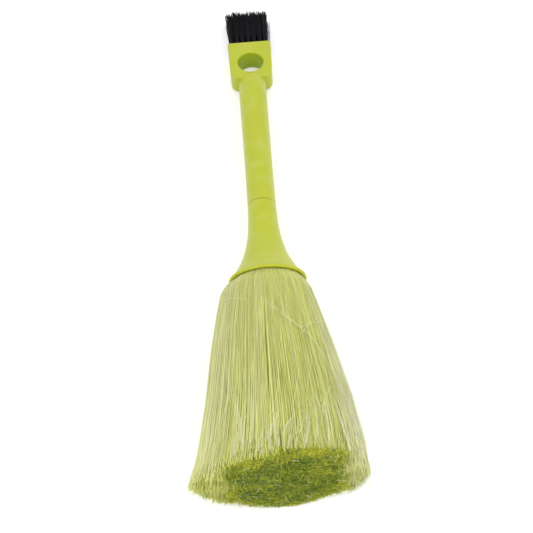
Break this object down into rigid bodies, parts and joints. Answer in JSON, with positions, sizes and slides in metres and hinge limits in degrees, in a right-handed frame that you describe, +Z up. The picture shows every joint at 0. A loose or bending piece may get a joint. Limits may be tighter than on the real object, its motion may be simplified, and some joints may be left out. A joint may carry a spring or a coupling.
{
  "type": "electrostatic duster",
  "caption": "Hand duster: a round grip ends in a flared bell full of fine dusting fibres, and in a square head with a hanging hole and a small stiff brush.",
  "frame": {"origin": "middle of the base of the bounding box, on the surface that the duster lies on", "axes": "+Y from the cut fibre ends to the head and its small brush, +X to the duster's right seen from its front, +Z up out of its front; the duster lies on its back and its own axis dips 4.3 degrees towards the head"},
  "size_m": [0.0876, 0.3184, 0.0566],
  "materials": {
    "lime_plastic": "satin moulded plastic",
    "dusting_fibre": "fine glossy synthetic fibre",
    "black_bristle": "stiff nylon filament",
    "steel": "drawn wire and flat strip",
    "glue": "set hot-melt adhesive"
  },
  "bodies": {
    "root": {"bell": "lime_plastic", "binding_wire": "steel", "bristle_tuft_01": "black_bristle", "bristle_tuft_02": "black_bristle", "bristle_tuft_03": "black_bristle", "bristle_tuft_04": "black_bristle", "bristle_tuft_05": "black_bristle", "bristle_tuft_06": "black_bristle", "bristle_tuft_07": "black_bristle", "bristle_tuft_08": "black_bristle", "bristle_tuft_09": "black_bristle", "bristle_tuft_10": "black_bristle", "bristle_tuft_11": "black_bristle", "bristle_tuft_12": "black_bristle", "bristle_tuft_13": "black_bristle", "bristle_tuft_14": "black_bristle", "bristle_tuft_15": "black_bristle", "bristle_tuft_16": "black_bristle", "bristle_tuft_17": "black_bristle", "bristle_tuft_18": "black_bristle", "bristle_tuft_19": "black_bristle", "bristle_tuft_20": "black_bristle", "fibre_hank_1": "dusting_fibre", "fibre_hank_2": "dusting_fibre", "fibre_hank_3": "dusting_fibre", "fibre_hank_4": "dusting_fibre", "fibre_hank_5": "dusting_fibre", "fibre_hank_6": "dusting_fibre", "fibre_hank_core": "dusting_fibre", "glue_bed": "glue", "handle": "lime_plastic", "tuft_anchor_01": "steel", "tuft_anchor_02": "steel", "tuft_anchor_03": "steel", "tuft_anchor_04": "steel", "tuft_anchor_05": "steel", "tuft_anchor_06": "steel", "tuft_anchor_07": "steel", "tuft_anchor_08": "steel", "tuft_anchor_09": "steel", "tuft_anchor_10": "steel", "tuft_anchor_11": "steel", "tuft_anchor_12": "steel", "tuft_anchor_13": "steel", "tuft_anchor_14": "steel", "tuft_anchor_15": "steel", "tuft_anchor_16": "steel", "tuft_anchor_17": "steel", "tuft_anchor_18": "steel", "tuft_anchor_19": "steel", "tuft_anchor_20": "steel"}
  },
  "joints": []
}
